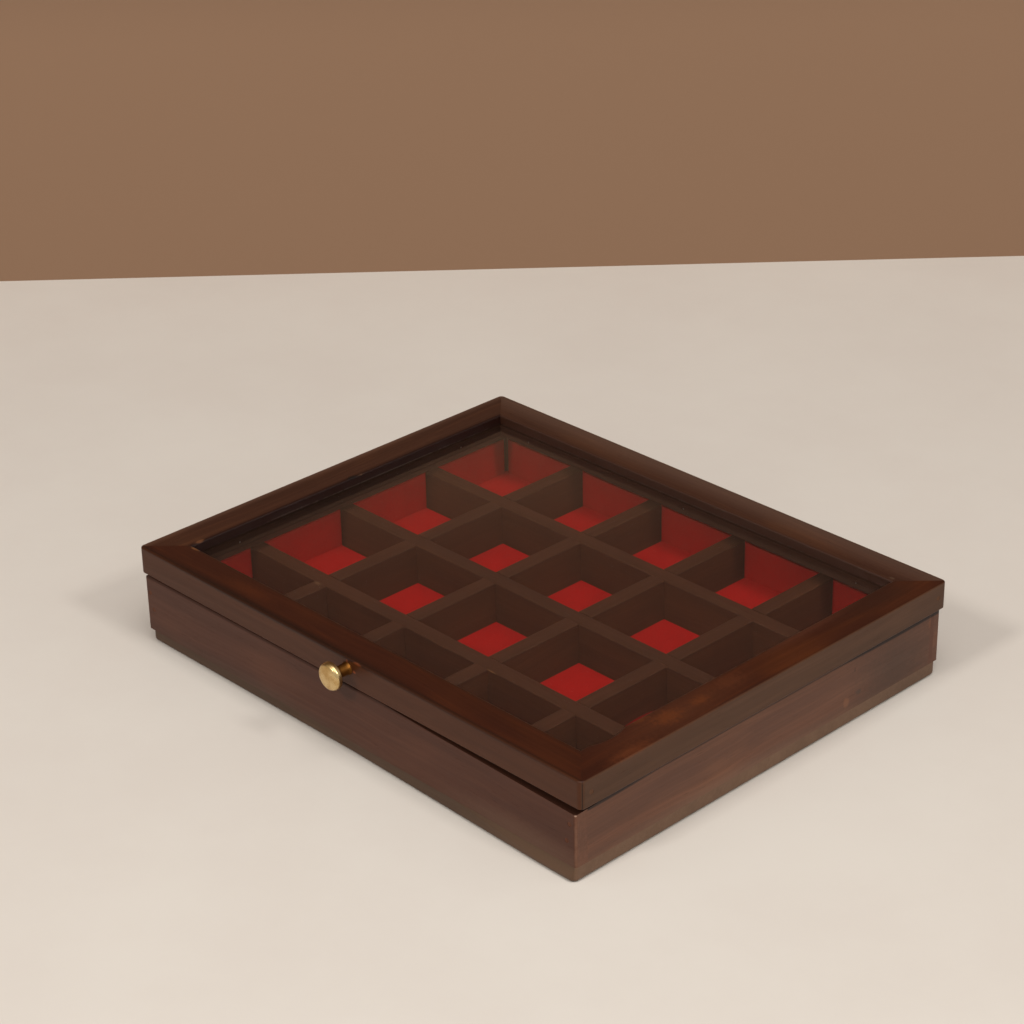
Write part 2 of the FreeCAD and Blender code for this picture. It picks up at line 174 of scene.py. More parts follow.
def seeThrough(tree, shader, when, tint):
    clear = addNode(tree, "BsdfTransparent", {"Color": tint}).outputs[0]
    both = addNode(tree, "MixShader", {0: when, 1: shader.outputs[0], 2: clear})
    feed(tree, tree.nodes["Material Output"].inputs["Surface"], both.outputs[0])


# screen levels, 0 to 255, into the linear values that shaders take
def linear(red, green, blue):
    def straight(level):
        level = level / 255
        return level / 12.92 if level <= 0.04045 else ((level + 0.055) / 1.055) ** 2.4
    return (straight(red), straight(green), straight(blue), 1.0)


# table top and backdrop, plain
stageSet = {
    "tableSize": 12.0,
    "tableColour": linear(217, 210, 201),
    "tableShade": linear(214, 206, 197),
    "tablePatches": (9.0, 6.0, 0.65),
    "patchRamp": (0.3, 0.7),
    "tableRough": 0.62,
    "tableShine": 0.2,
    "backdropFoot": (-0.312, 0.287),
    "backdropTurn": 47.2,
    "backdropSize": (7.0, 2.6),
    "backdropColour": linear(139, 110, 88),
    "backdropTop": linear(90, 69, 58),
    "backdropFade": (0.125, 0.28),
    "backdropRough": 0.9,
    "backdropShine": 0.1,
}


def makeTableFinish(spec):
    material, tree, shader = newMaterial("paleTable")
    patches = cloud(tree, objectPlace(tree), *spec["tablePatches"]).outputs[0]
    share = rampTo(tree, patches, *spec["patchRamp"])
    colour = mixColour(tree, share, spec["tableShade"], spec["tableColour"])
    feed(tree, shader.inputs["Base Color"], colour)
    shader.inputs["Roughness"].default_value = spec["tableRough"]
    shader.inputs["Specular IOR Level"].default_value = spec["tableShine"]
    return material


# the backdrop is clear from behind, so that it can be looked through
def makeBackdropFinish(spec):
    material, tree, shader = newMaterial("warmBackdrop")
    fade = rampTo(tree, axes(tree, objectPlace(tree))[2], *spec["backdropFade"])
    colour = mixColour(tree, fade, spec["backdropColour"], spec["backdropTop"])
    feed(tree, shader.inputs["Base Color"], colour)
    shader.inputs["Roughness"].default_value = spec["backdropRough"]
    shader.inputs["Specular IOR Level"].default_value = spec["backdropShine"]
    behind = addNode(tree, "NewGeometry", {}).outputs["Backfacing"]
    seeThrough(tree, shader, behind, (1.0, 1.0, 1.0, 1.0))
    return material


def addStage(spec):
    bpy.ops.object.select_all(action="DESELECT")
    bpy.ops.mesh.primitive_plane_add(size=spec["tableSize"])
    table = bpy.context.object
    table.name = "tableTop"
    table.data.materials.append(makeTableFinish(spec))
    width, height = spec["backdropSize"]
    bpy.ops.mesh.primitive_plane_add(size=1.0)
    backdrop = bpy.context.object
    backdrop.name = "backdrop"
    upright = Matrix.Rotation(math.radians(90), 4, "X")
    turned = Matrix.Rotation(math.radians(spec["backdropTurn"]), 4, "Z")
    lifted = Matrix.Translation((*spec["backdropFoot"], height / 2))
    grown = Matrix.Diagonal((width, height, 1.0, 1.0))
    backdrop.data.transform(lifted @ turned @ upright @ grown)
    backdrop.data.materials.append(makeBackdropFinish(spec))


addStage(stageSet)
print("table and backdrop laid")

# an even room light, a broad lamp high above the camera and a small one at each side of it
lampSets = {
    "topLamp": {"azimuth": 58.0, "elevation": 66.0, "distance": 2.2, "size": 1.3, "watts": 18.0},
    "rightLamp": {"azimuth": 90.0, "elevation": 42.5, "distance": 1.9, "size": 0.24, "watts": 7.9},
    "leftLamp": {"azimuth": 3.0, "elevation": 41.7, "distance": 1.9, "size": 0.24, "watts": 10.5},
}
roomSet = {
    "lampColour": (1.0, 0.975, 0.94),
    "skyColour": (1.0, 0.97, 0.93, 1.0),
    "skyStrength": 0.56,
}


def addLamp(name, spec):
    away = compass(spec["azimuth"], spec["elevation"])
    bpy.ops.object.light_add(type="AREA", location=away * spec["distance"])
    lamp = bpy.context.object
    lamp.name = name
    lamp.rotation_euler = away.to_track_quat("Z", "Y").to_euler()
    lamp.data.size = spec["size"]
    lamp.data.energy = spec["watts"]
    lamp.data.color = roomSet["lampColour"]


for lampName, lampSet in lampSets.items():
    addLamp(lampName, lampSet)
room = bpy.data.worlds.new("softRoom")
room.use_nodes = True
sky = room.node_tree.nodes["Background"]
sky.inputs["Color"].default_value = roomSet["skyColour"]
sky.inputs["Strength"].default_value = roomSet["skyStrength"]
scene.world = room
print("lamps lit")


# grain runs along X of the vector that comes in; its stretches are counted per metre
grainSet = {
    "bends": 8.0,
    "bendReach": (0.0, 0.012, 0.012),
    "broad": (3.0, 110.0, 110.0),
    "narrow": (9.0, 620.0, 620.0),
    "dashes": (130.0, 2600.0, 2600.0),
    "patches": (17.0, 40.0, 40.0),
    "bandRamp": (0.62, 0.36),
    "glowRamp": (0.46, 0.72),
    "lineRamp": (0.68, 0.34),
    "lineShare": 0.55,
    "lineDepth": 0.5,
    "threadRamp": (0.55, 0.75),
    "threadShare": 0.3,
    "poreRamp": (0.64, 0.74),
    "poreShare": 0.35,
    "poreRough": 0.12,
    "poreDepth": 0.5,
    "roughRamp": (0.3, 0.7, 0.04, -0.03),
}


def stretchedCloud(tree, vector, stretch, detail, rough=0.5):
    return cloud(tree, calcVector(tree, "MULTIPLY", vector, stretch), 1.0, detail, rough).outputs[0]


def makeGrainGroup(spec):
    sockets = {"Vector": "Vector", "Dark": "Color", "Middle": "Color", "Light": "Color"}
    sockets.update({"Streak": "Float", "Figure": "Float", "Sheen": "Float"})
    results = {"Color": "Color", "Roughness": "Float", "Height": "Float"}
    tree, given, wanted = newGroup("stainedGrain", sockets, results)
    bends = cloud(tree, given["Vector"], spec["bends"]).outputs[1]
    wander = calcVector(tree, "SUBTRACT", bends, (0.5, 0.5, 0.5))
    drift = calcVector(tree, "MULTIPLY", wander, spec["bendReach"])
    along = calcVector(tree, "ADD", given["Vector"], drift)
    broad = stretchedCloud(tree, along, spec["broad"], 3.0)
    narrow = stretchedCloud(tree, along, spec["narrow"], 3.0, 0.6)
    dashes = stretchedCloud(tree, along, spec["dashes"], 1.0)
    patches = stretchedCloud(tree, given["Vector"], spec["patches"], 2.0)
    band = scaled(tree, rampTo(tree, broad, *spec["bandRamp"]), given["Streak"])
    colour = mixColour(tree, band, given["Middle"], given["Dark"])
    glow = scaled(tree, rampTo(tree, patches, *spec["glowRamp"]), given["Figure"])
    colour = mixColour(tree, glow, colour, given["Light"])
    line = scaled(tree, rampTo(tree, narrow, *spec["lineRamp"]), given["Streak"])
    colour = mixColour(tree, scaled(tree, line, spec["lineShare"]), colour, given["Dark"])
    thread = scaled(tree, rampTo(tree, narrow, *spec["threadRamp"]), given["Streak"])
    colour = mixColour(tree, scaled(tree, thread, spec["threadShare"]), colour, given["Light"])
    pores = rampTo(tree, dashes, *spec["poreRamp"])
    colour = mixColour(tree, scaled(tree, pores, spec["poreShare"]), colour, given["Dark"])
    feed(tree, wanted["Color"], colour)
    rough = calc(tree, "ADD", given["Sheen"], rampTo(tree, narrow, *spec["roughRamp"]))
    feed(tree, wanted["Roughness"], calc(tree, "ADD", rough, scaled(tree, pores, spec["poreRough"])))
    ridges = scaled(tree, narrow, spec["lineDepth"])
    feed(tree, wanted["Height"], calc(tree, "SUBTRACT", ridges, scaled(tree, pores, spec["poreDepth"])))
    return tree


# rubbed arrises: the second nearest face of the piece's box says how far the edge is
rubSet = {"width": 0.0012, "wear": (160.0, 3.0, 0.6), "wearRamp": (0.42, 0.66)}


def makeRubbedGroup(spec):
    sockets = {"Vector": "Vector", "Low": "Vector", "High": "Vector", "Width": "Float"}
    tree, given, wanted = newGroup("rubbedEdges", sockets, {"Mask": "Float"})
    fromLow = absolute(tree, calcVector(tree, "SUBTRACT", given["Vector"], given["Low"]))
    fromHigh = absolute(tree, calcVector(tree, "SUBTRACT", given["High"], given["Vector"]))
    nearest = axes(tree, calcVector(tree, "MINIMUM", fromLow, fromHigh))
    nearXy = calc(tree, "MINIMUM", nearest[0], nearest[1])
    farXy = calc(tree, "MAXIMUM", nearest[0], nearest[1])
    second = calc(tree, "MAXIMUM", nearXy, calc(tree, "MINIMUM", farXy, nearest[2]))
    edge = calc(tree, "DIVIDE", second, given["Width"])
    worn = cloud(tree, given["Vector"], *spec["wear"]).outputs[0]
    mask = scaled(tree, rampTo(tree, edge, 1.0, 0.0), rampTo(tree, worn, *spec["wearRamp"]))
    feed(tree, wanted["Mask"], mask)
    return tree


# one ragged mark, such as a chip, a knot, a spot of filler, or a painted shade, shadow, highlight or
# reflection
tornNoise = (600.0, 3.0)


def makeMarkGroup():
    sockets = {"Vector": "Vector", "Place": "Vector", "Reach": "Vector"}
    sockets.update({"Ragged": "Float", "Core": "Float"})
    tree, given, wanted = newGroup("raggedMark", sockets, {"Mask": "Float"})
    offset = calcVector(tree, "SUBTRACT", given["Vector"], given["Place"])
    away = lengthOf(tree, calcVector(tree, "DIVIDE", offset, given["Reach"]))
    torn = calc(tree, "SUBTRACT", cloud(tree, given["Vector"], *tornNoise).outputs[0], 0.5)
    edge = calc(tree, "ADD", away, scaled(tree, torn, given["Ragged"]))
    feed(tree, wanted["Mask"], rampTo(tree, edge, 1.0, given["Core"]))
    return tree


# places on the lid frame: its mitre joints, its outer edge faces, the arris over them, darkened as
# painted shade, and the faces round the pane, whose colour fades onto the top as painted shade, each
# with the metres over which it fades
frameSet = {
    "mitre": (0.0004, 0.0001),
    "mitreTop": (0.0006, 0.0014, 0.2, 1.0),
    "edge": (0.0005, 0.0001),
    "arrisShadeInside": (0.0016, 0.0007),
    "arrisShadeOutside": (0.0, 0.0003),
    "arrisShadeTop": (0.0008, 0.0003),
    "recessToneAndShade": (0.0026, 0.0001),
}


def makeFrameGroup(spec):
    sockets = {"Vector": "Vector", "Outer": "Vector", "Window": "Vector"}
    results = {"Mitre": "Float", "Edge": "Float", "ArrisShade": "Float", "RecessToneAndShade": "Float"}
    tree, given, wanted = newGroup("framePlaces", sockets, results)
    away = absolute(tree, given["Vector"])
    inward = axes(tree, calcVector(tree, "SUBTRACT", given["Outer"], away))
    across = calc(tree, "ABSOLUTE", calc(tree, "SUBTRACT", inward[0], inward[1]))
    below = rampTo(tree, inward[2], *spec["mitreTop"])
    feed(tree, wanted["Mitre"], scaled(tree, rampTo(tree, across, *spec["mitre"]), below))
    margin = calc(tree, "MINIMUM", inward[0], inward[1])
    feed(tree, wanted["Edge"], rampTo(tree, margin, *spec["edge"]))
    inside = rampTo(tree, margin, *spec["arrisShadeInside"])
    line = scaled(tree, inside, rampTo(tree, margin, *spec["arrisShadeOutside"]))
    feed(tree, wanted["ArrisShade"], scaled(tree, line, rampTo(tree, inward[2], *spec["arrisShadeTop"])))
    past = axes(tree, calcVector(tree, "SUBTRACT", away, given["Window"]))
    fromPane = calc(tree, "MAXIMUM", past[0], past[1])
    feed(tree, wanted["RecessToneAndShade"], rampTo(tree, fromPane, *spec["recessToneAndShade"]))
    return tree


grainGroup = makeGrainGroup(grainSet)
rubbedGroup = makeRubbedGroup(rubSet)
markGroup = makeMarkGroup()
frameGroup = makeFrameGroup(frameSet)
print("shared finishes built")


# wood finishes: the dark, middle and light of each stain, how rough it is and how shiny; some below
# hold painted light or a painted reflection, as noted
def stain(dark, middle, light, sheen, shine=0.25):
    return {"dark": dark, "middle": middle, "light": light, "sheen": sheen, "shine": shine}


stains = {
    "front": stain((52, 24, 13), (73, 37, 21), (96, 53, 30), 0.42),
    "side": stain((73, 46, 35), (101, 64, 46), (123, 79, 53), 0.42),
    "lid": stain((39, 15, 8), (56, 24, 12), (104, 52, 20), 0.38, 0.2),
    # the far rails' tops in a lighter, greyer stain: a painted reflection of the backdrop
    "lidFarReflection": stain((44, 22, 14), (62, 34, 22), (98, 58, 32), 0.4),
    # the lid's outer edge faces in lighter, greyer stains than its top: painted light, lighter on the
    # sides than on the front
    "frontEdgeLit": stain((57, 28, 14), (72, 37, 17), (87, 49, 26), 0.44),
    "sideEdgeLit": stain((60, 37, 22), (76, 48, 30), (92, 60, 38), 0.44),
    "inner": stain((51, 24, 13), (69, 35, 19), (88, 47, 27), 0.58, 0.1),
    "bead": stain((36, 21, 14), (49, 30, 20), (62, 39, 28), 0.5, 0.12),
    "beadBack": stain((50, 32, 24), (64, 41, 31), (78, 52, 40), 0.5, 0.12),
    "bottom": stain((62, 43, 29), (76, 54, 38), (90, 66, 48), 0.46),
    "bottomSide": stain((90, 66, 50), (106, 79, 60), (120, 91, 70), 0.46),
}
mitreSet = {"colour": (22, 11, 7), "share": 0.75}
# painted shade on the lid's arris
arrisShadeColour = (34, 17, 10)
# dark colours for the walls' tops: a painted shade under the lid
rimColour = (36, 19, 13)
frontRimShadeColour = (54, 30, 20)


# a mark has its place and reach in millimetres, its colour, how strongly it covers, how torn
# its outline is and how much of it is solid
def mark(place, reach, colour, share, ragged=0.8, core=0.4):
    return {"place": place, "reach": reach, "colour": colour,
            "share": share, "ragged": ragged, "core": core}


lidTop, dividerTop = 43.3, 25.8
frontWallMarks = [
    mark((-45.0, -102.7, 7.0), (95.0, 3.0, 5.0), (70, 50, 38), 0.45, 0.3, 0.0),
    mark((100.0, -102.7, 8.0), (60.0, 3.0, 9.0), (98, 72, 56), 0.45, 0.3, 0.0),
    # painted highlight: a glint at the top of the near corner
    mark((123.9, -102.2, 28.2), (0.7, 0.7, 0.5), (180, 150, 130), 0.7, 0.3),
    mark((124.0, -102.3, 17.0), (0.9, 0.9, 11.0), (120, 88, 70), 0.35, 1.4, 0.1),
]
rightWallMarks = [
    mark((124.4, -20.0, 6.4), (3.0, 110.0, 6.0), (118, 88, 70), 0.5, 0.3, 0.0),
    mark((124.4, 76.0, 14.0), (2.0, 40.0, 26.0), (66, 45, 34), 0.85, 0.5, 0.0),
    # painted shadow under the lid's overhang, and painted shade in the seam, darker at the back and at
    # the front
    mark((124.4, 0.0, 29.5), (2.0, 400.0, 1.2), (38, 15, 7), 0.65, 0.2, 0.5),
    mark((124.4, 82.0, 28.9), (2.0, 50.0, 1.4), (26, 6, 2), 0.95, 0.1, 0.55),
    mark((124.4, -92.0, 28.9), (2.0, 36.0, 1.4), (28, 8, 3), 0.9, 0.1, 0.4),
    mark((124.4, 53.0, 12.6), (2.0, 2.4, 1.8), (66, 50, 42), 0.7, 0.9),
    mark((124.4, 45.6, 10.8), (2.0, 2.4, 2.8), (132, 86, 58), 0.4, 0.9),
    mark((124.4, 50.2, 23.5), (2.0, 0.5, 1.3), (56, 35, 26), 0.8, 0.4),
    mark((124.4, 98.6, 25.8), (2.0, 4.0, 4.0), (130, 78, 46), 0.45, 1.0),
]
backWallMarks = [
    # the inner face above the felt painted lighter: painted light where the lid rails shade it
    mark((0.0, 96.7, 27.0), (400.0, 2.5, 60.0), (84, 49, 35), 0.9, 0.0, 0.9),
    # painted shade in the seam under the lid, at the back corner
    mark((124.4, 98.0, 28.9), (2.0, 9.0, 1.4), (26, 6, 2), 0.95, 0.1, 0.55),
]
leftWallMarks = [mark((-118.4, 0.0, 27.0), (2.5, 400.0, 60.0), (66, 33, 22), 0.9, 0.0, 0.9)]
bottomMarks = [
    mark((112.0, -103.6, 3.0), (62.0, 4.0, 9.0), (100, 74, 55), 0.5, 0.3, 0.0),
    mark((124.4, 86.0, 3.0), (3.0, 34.0, 9.0), (80, 58, 44), 0.5, 0.3, 0.0),
]
frontRailMarks = [
    # painted shade darkening the front arris
    mark((-45.0, -102.5, 43.2), (120.0, 4.8, 1.8), (32, 15, 8), 0.75, 0.3, 0.3),
    mark((70.0, -102.5, 43.2), (90.0, 2.2, 1.5), (40, 20, 11), 0.6, 0.3, 0.3),
    mark((6.7, -102.5, 38.5), (1.1, 1.0, 0.8), (160, 82, 46), 0.5, 0.8),
    mark((8.6, -102.3, 42.7), (3.0, 1.0, 0.7), (130, 66, 32), 0.5, 0.8),
    mark((2.7, -102.5, 42.0), (0.7, 1.0, 0.8), (150, 76, 42), 0.4, 0.6),
    mark((-65.0, -94.4, lidTop), (22.0, 4.5, 2.0), (110, 52, 20), 0.18, 1.0, 0.0),
    mark((-108.5, -88.0, lidTop), (3.0, 1.0, 1.2), (120, 78, 46), 0.6),
]
leftRailMarks = [
    # a lighter, greyer band towards the outer edge: a painted reflection of the backdrop
    mark((-127.0, 0.0, 43.0), (4.5, 400.0, 3.0), (104, 76, 62), 0.5, 0.2, 0.0),
    mark((-112.4, -82.8, lidTop), (1.3, 2.4, 1.2), (112, 70, 44), 0.6, 1.2),
    mark((-112.5, -89.0, lidTop), (1.0, 1.2, 1.0), (112, 70, 42), 0.6, 0.8),
    mark((-110.6, 4.4, lidTop), (1.8, 2.8, 1.2), (116, 84, 58), 0.8, 1.0),
    mark((-112.2, -0.6, lidTop), (1.4, 3.4, 1.4), (20, 11, 8), 0.9, 0.8),
    mark((-111.6, 20.0, 39.3), (0.8, 60.0, 0.35), (74, 62, 54), 0.55, 2.2),
    mark((-111.6, -35.0, 39.6), (0.8, 16.0, 0.5), (74, 62, 54), 0.45, 2.2),
]
backRailMarks = [
    # a lighter, greyer top: a painted reflection of the backdrop
    mark((0.0, 102.5, 43.0), (400.0, 15.0, 3.0), (106, 84, 72), 0.38, 0.2, 0.0),
    mark((0.0, 87.1, 39.3), (100.0, 0.8, 0.35), (66, 54, 46), 0.4, 2.2),
    mark((110.2, 89.0, lidTop), (1.8, 0.8, 1.0), (84, 64, 50), 0.6, 0.6),
]
rightRailMarks = [
    mark((119.5, -46.0, lidTop), (15.0, 52.0, 2.0), (108, 64, 42), 0.22, 0.5, 0.0),
    mark((118.6, -49.0, lidTop), (6.0, 10.0, 2.0), (122, 60, 20), 0.24, 1.4, 0.1),
    mark((118.8, -32.5, lidTop), (4.0, 6.0, 2.0), (122, 60, 20), 0.2, 1.4, 0.1),
    mark((112.9, -57.8, lidTop), (2.4, 6.0, 2.0), (112, 58, 24), 0.25, 1.2, 0.1),
    mark((117.7, -15.0, lidTop), (6.0, 12.0, 2.0), (110, 58, 32), 0.2, 1.0, 0.0),
    mark((125.0, -76.0, lidTop), (5.0, 16.0, 2.0), (112, 58, 30), 0.35, 0.9, 0.0),
    mark((113.0, 34.0, lidTop), (4.0, 40.0, 2.0), (92, 52, 36), 0.3, 0.6, 0.0),
    mark((117.5, 75.0, lidTop), (9.0, 40.0, 2.0), (44, 26, 17), 0.35, 0.6, 0.0),
    mark((111.4, 80.6, lidTop), (0.5, 0.6, 0.6), (214, 196, 172), 0.9, 0.3),
]
crossOneMarks = [mark((-72.6, -53.9, dividerTop), (2.6, 1.4, 1.0), (104, 74, 52), 0.6, 0.9)]
crossFourMarks = [mark((75.4, -19.5, 8.2), (1.2, 11.0, 1.95), (150, 18, 16), 0.9, 0.3, 0.7)]
longOneMarks = [mark((29.6, -53.3, dividerTop), (4.0, 0.5, 0.6), (118, 78, 46), 0.7, 0.5)]
longTwoMarks = [mark((-105.5, 4.0, dividerTop), (2.0, 1.0, 0.8), (124, 104, 84), 0.7, 0.9)]
topShade = mark((0.0, 0.0, dividerTop), (400.0, 400.0, 1.2), (44, 24, 14), 0.36, 0.0, 0.5)

# what each wooden piece shows: the way of its grain, its shares of streaks, bright figure and rub,
# and how much painted shade darkens its arris; ends, edge, rim and recess are the faces that differ:
# edge takes a painted light, rim a painted shade, recess its darker colour with painted shade
woodPieces = {
    "front_wall": {"stain": "front", "grain": "x", "streak": 0.35, "figure": 0.3, "rub": 0.2,
                   "ends": "side", "rim": frontRimShadeColour, "marks": frontWallMarks},
    "back_wall": {"stain": "front", "grain": "x", "streak": 0.4, "figure": 0.3, "rub": 0.2,
                  "ends": "side", "rim": rimColour, "marks": backWallMarks},
    "left_wall": {"stain": "side", "grain": "y", "streak": 0.5, "figure": 0.4, "rub": 0.15,
                  "rim": rimColour, "marks": leftWallMarks},
    "right_wall": {"stain": "side", "grain": "y", "streak": 0.5, "figure": 0.4, "rub": 0.15,
                   "rim": rimColour, "marks": rightWallMarks},
    "bottom_panel": {"stain": "bottom", "grain": "x", "streak": 0.35, "figure": 0.3, "rub": 0.0,
                     "ends": "bottomSide", "marks": bottomMarks},
    "lid_front_rail": {"stain": "lid", "grain": "x", "streak": 0.5, "figure": 0.14, "rub": 0.03,
                       "edge": "frontEdgeLit", "recessToneAndShade": (48, 24, 14), "arrisShade": 0.6,
                       "marks": frontRailMarks},
    "lid_back_rail": {"stain": "lidFarReflection", "grain": "x", "streak": 0.5, "figure": 0.25, "rub": 0.03,
                      "edge": "frontEdgeLit", "recessToneAndShade": (57, 33, 22), "arrisShade": 0.1,
                      "marks": backRailMarks},
    "lid_left_rail": {"stain": "lidFarReflection", "grain": "y", "streak": 0.5, "figure": 0.25, "rub": 0.03,
                      "edge": "sideEdgeLit", "recessToneAndShade": (32, 11, 5), "arrisShade": 0.1,
                      "marks": leftRailMarks},
    "lid_right_rail": {"stain": "lid", "grain": "y", "streak": 0.5, "figure": 0.35, "rub": 0.03,
                       "edge": "sideEdgeLit", "recessToneAndShade": (50, 25, 15), "arrisShade": 0.2,
                       "marks": rightRailMarks},
    "long_divider_1": {"marks": longOneMarks},
    "long_divider_2": {"marks": longTwoMarks},
    "cross_divider_1": {"marks": crossOneMarks},
    "cross_divider_4": {"marks": crossFourMarks},
}
for side, way in {"front": "x", "back": "x", "left": "y", "right": "y"}.items():
    tone = "beadBack" if side == "back" else "bead"
    plain = {"stain": tone, "grain": way, "streak": 0.5, "figure": 0.2, "rub": 0.0}
    woodPieces[side + "_glazing_bead"] = plain
for name in nodes:
    if "divider" in name:
        way = "x" if name.startswith("long") else "y"
        plain = {"stain": "inner", "grain": way, "streak": 0.4, "figure": 0.3, "rub": 0.0}
        woodPieces[name] = {**plain, **woodPieces.get(name, {})}
        woodPieces[name]["marks"] = [topShade] + woodPieces[name].get("marks", [])
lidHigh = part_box("lid_right_rail")[1]
paneEdge = (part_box("lid_right_rail")[0].x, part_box("lid_back_rail")[0].y, 1.0)
woodSet = {
    "grainShift": (0.37, 0.11, 0.05),  # from one piece to the next
    "endRun": (0.0010, 0.0002),  # in from the end face
    "rimTurn": (0.08, 0.4),  # how far a face looks up before it is rim
    "bump": 0.15,
    "bumpDepth": 0.0004,
}


def layGrain(tree, place, stainName, piece, count):
    tones = stains[stainName]
    turn = 0.0 if piece["grain"] == "x" else math.radians(-90)
    shift = [step * count for step in woodSet["grainShift"]]
    mapping = {"Vector": place, "Location": shift, "Rotation": (0, 0, turn)}
    laid = addNode(tree, "Mapping", mapping).outputs[0]
    inputs = {"Vector": laid, "Sheen": tones["sheen"]}
    inputs.update({"Streak": piece["streak"], "Figure": piece["figure"]})
    inputs.update({shade.capitalize(): linear(*tones[shade]) for shade in ("dark", "middle", "light")})
    return useGroup(tree, grainGroup, inputs)


def layFrame(tree, place, colour, piece, count):
    spots = useGroup(tree, frameGroup, {"Vector": place, "Outer": lidHigh, "Window": paneEdge})
    # the outer edge faces take the lighter edge stain, a painted light
    edge = layGrain(tree, place, piece["edge"], piece, count)["Color"]
    colour = mixColour(tree, spots["Edge"], colour, edge)
    # painted shade: the arris over the outer edge is darkened
    arrisShade = scaled(tree, spots["ArrisShade"], piece["arrisShade"])
    colour = mixColour(tree, arrisShade, colour, linear(*arrisShadeColour))
    # the faces round the pane take their darker colour, which fades onto the top near the pane as
    # painted shade
    colour = mixColour(tree, spots["RecessToneAndShade"], colour, linear(*piece["recessToneAndShade"]))
    joint = scaled(tree, spots["Mitre"], mitreSet["share"])
    return mixColour(tree, joint, colour, linear(*mitreSet["colour"]))


def layMark(tree, place, colour, spot):
    inputs = {"Vector": place, "Ragged": spot["ragged"], "Core": spot["core"]}
    for key in ("place", "reach"):
        inputs[key.capitalize()] = [length / 1000 for length in spot[key]]
    share = scaled(tree, useGroup(tree, markGroup, inputs)["Mask"], spot["share"])
    return mixColour(tree, share, colour, linear(*spot["colour"]))


def makeWood(name, piece, count):
    material, tree, shader = newMaterial(name + "Wood")
    place = objectPlace(tree)
    low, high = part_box(name)
    tones = stains[piece["stain"]]
    grain = layGrain(tree, place, piece["stain"], piece, count)
    colour = grain["Color"]
    if "ends" in piece:
        sideways = calc(tree, "ABSOLUTE", axes(tree, place)[0])
        atEnd = rampTo(tree, sideways, *[high.x - run for run in woodSet["endRun"]])
        ends = layGrain(tree, place, piece["ends"], piece, count)["Color"]
        colour = mixColour(tree, atEnd, colour, ends)
    if "edge" in piece:
        colour = layFrame(tree, place, colour, piece, count)
    inputs = {"Vector": place, "Low": low, "High": high, "Width": rubSet["width"]}
    worn = scaled(tree, useGroup(tree, rubbedGroup, inputs)["Mask"], piece["rub"])
    colour = mixColour(tree, worn, colour, linear(*tones["light"]))
    # the upward faces of the walls, their tops under the lid, are painted dark: a painted shade of the
    # seam
    if "rim" in piece:
        facing = axes(tree, addNode(tree, "TexCoord", {}).outputs["Normal"])[2]
        onRimShade = rampTo(tree, facing, *woodSet["rimTurn"])
        colour = mixColour(tree, onRimShade, colour, linear(*piece["rim"]))
    for spot in piece.get("marks", []):
        colour = layMark(tree, place, colour, spot)
    feed(tree, shader.inputs["Base Color"], colour)
    feed(tree, shader.inputs["Roughness"], grain["Roughness"])
    shader.inputs["Specular IOR Level"].default_value = tones["shine"]
    addRelief(tree, shader, grain["Height"], woodSet["bump"], woodSet["bumpDepth"])
    return material


def dress(node, material):
    node.data.materials.clear()
    node.data.materials.append(material)


for count, (name, piece) in enumerate(woodPieces.items()):
    dress(nodes[name], makeWood(name, piece, count))
print("wood stained on", len(woodPieces), "pieces")

# clear pane: lamps shine through, so the felt below is lit
paneSet = {
    "tint": (0.97, 0.985, 0.975, 1.0),
    "index": 1.5,
    "smears": (22.0, 4.0, 0.6),
    "smearRough": (0.4, 0.8, 0.0, 0.02),
}


def makePane(spec):
    material, tree, shader = newMaterial("clearPane")
    shader.inputs["Base Color"].default_value = spec["tint"]
    shader.inputs["IOR"].default_value = spec["index"]
    shader.inputs["Transmission Weight"].default_value = 1.0
    smears = cloud(tree, objectPlace(tree), *spec["smears"]).outputs[0]
    feed(tree, shader.inputs["Roughness"], rampTo(tree, smears, *spec["smearRough"]))
    path = addNode(tree, "LightPath", {}).outputs
    lit = calc(tree, "MAXIMUM", path["Is Shadow Ray"], path["Is Diffuse Ray"])
    seeThrough(tree, shader, lit, spec["tint"])
    return material


dress(nodes["glass_pane"], makePane(paneSet))
print("pane glazed")

# metals: brass that is polished or dulled, bare steel, and brads stained over with the wood
metals = {
    "knobBrass": {"bright": (216, 188, 136), "dull": (190, 154, 98), "rough": (0.24, 0.36),
                  "scale": 260.0, "stem": (124, 80, 34), "stemPlace": (-0.1110, -0.1090),
                  "stemRough": 0.15, "rings": 2600.0, "ringBump": 0.12, "ringDepth": 0.0002},
    "hingeBrass": {"bright": (196, 160, 96), "dull": (130, 98, 56), "rough": (0.28, 0.5),
                   "scale": 320.0},
    "bareSteel": {"bright": (150, 148, 144), "dull": (96, 88, 82), "rough": (0.3, 0.5),
                  "scale": 900.0},
    "wallBrad": {"bright": (90, 53, 36), "dull": (78, 42, 28), "rough": (0.45, 0.55),
                 "scale": 900.0, "shine": 0.12},
    "lidBrad": {"bright": (90, 59, 40), "dull": (84, 55, 37), "rough": (0.45, 0.55),
                "scale": 900.0, "shine": 0.12},
}
tarnishSet = {"noise": (4.0, 0.6), "colourRamp": (0.35, 0.7), "roughRamp": (0.3, 0.75)}
metalPieces = {
    "knobBrass": ["knob", "knob_stud"],
    "hingeBrass": [name for name in nodes if "hinge" in name] + ["box_leaf_nails", "lid_leaf_nails"],
    "bareSteel": ["bottom_brads", "glazing_pins"],
    "wallBrad": ["corner_brads"],
    "lidBrad": ["lid_corner_brads"],
}


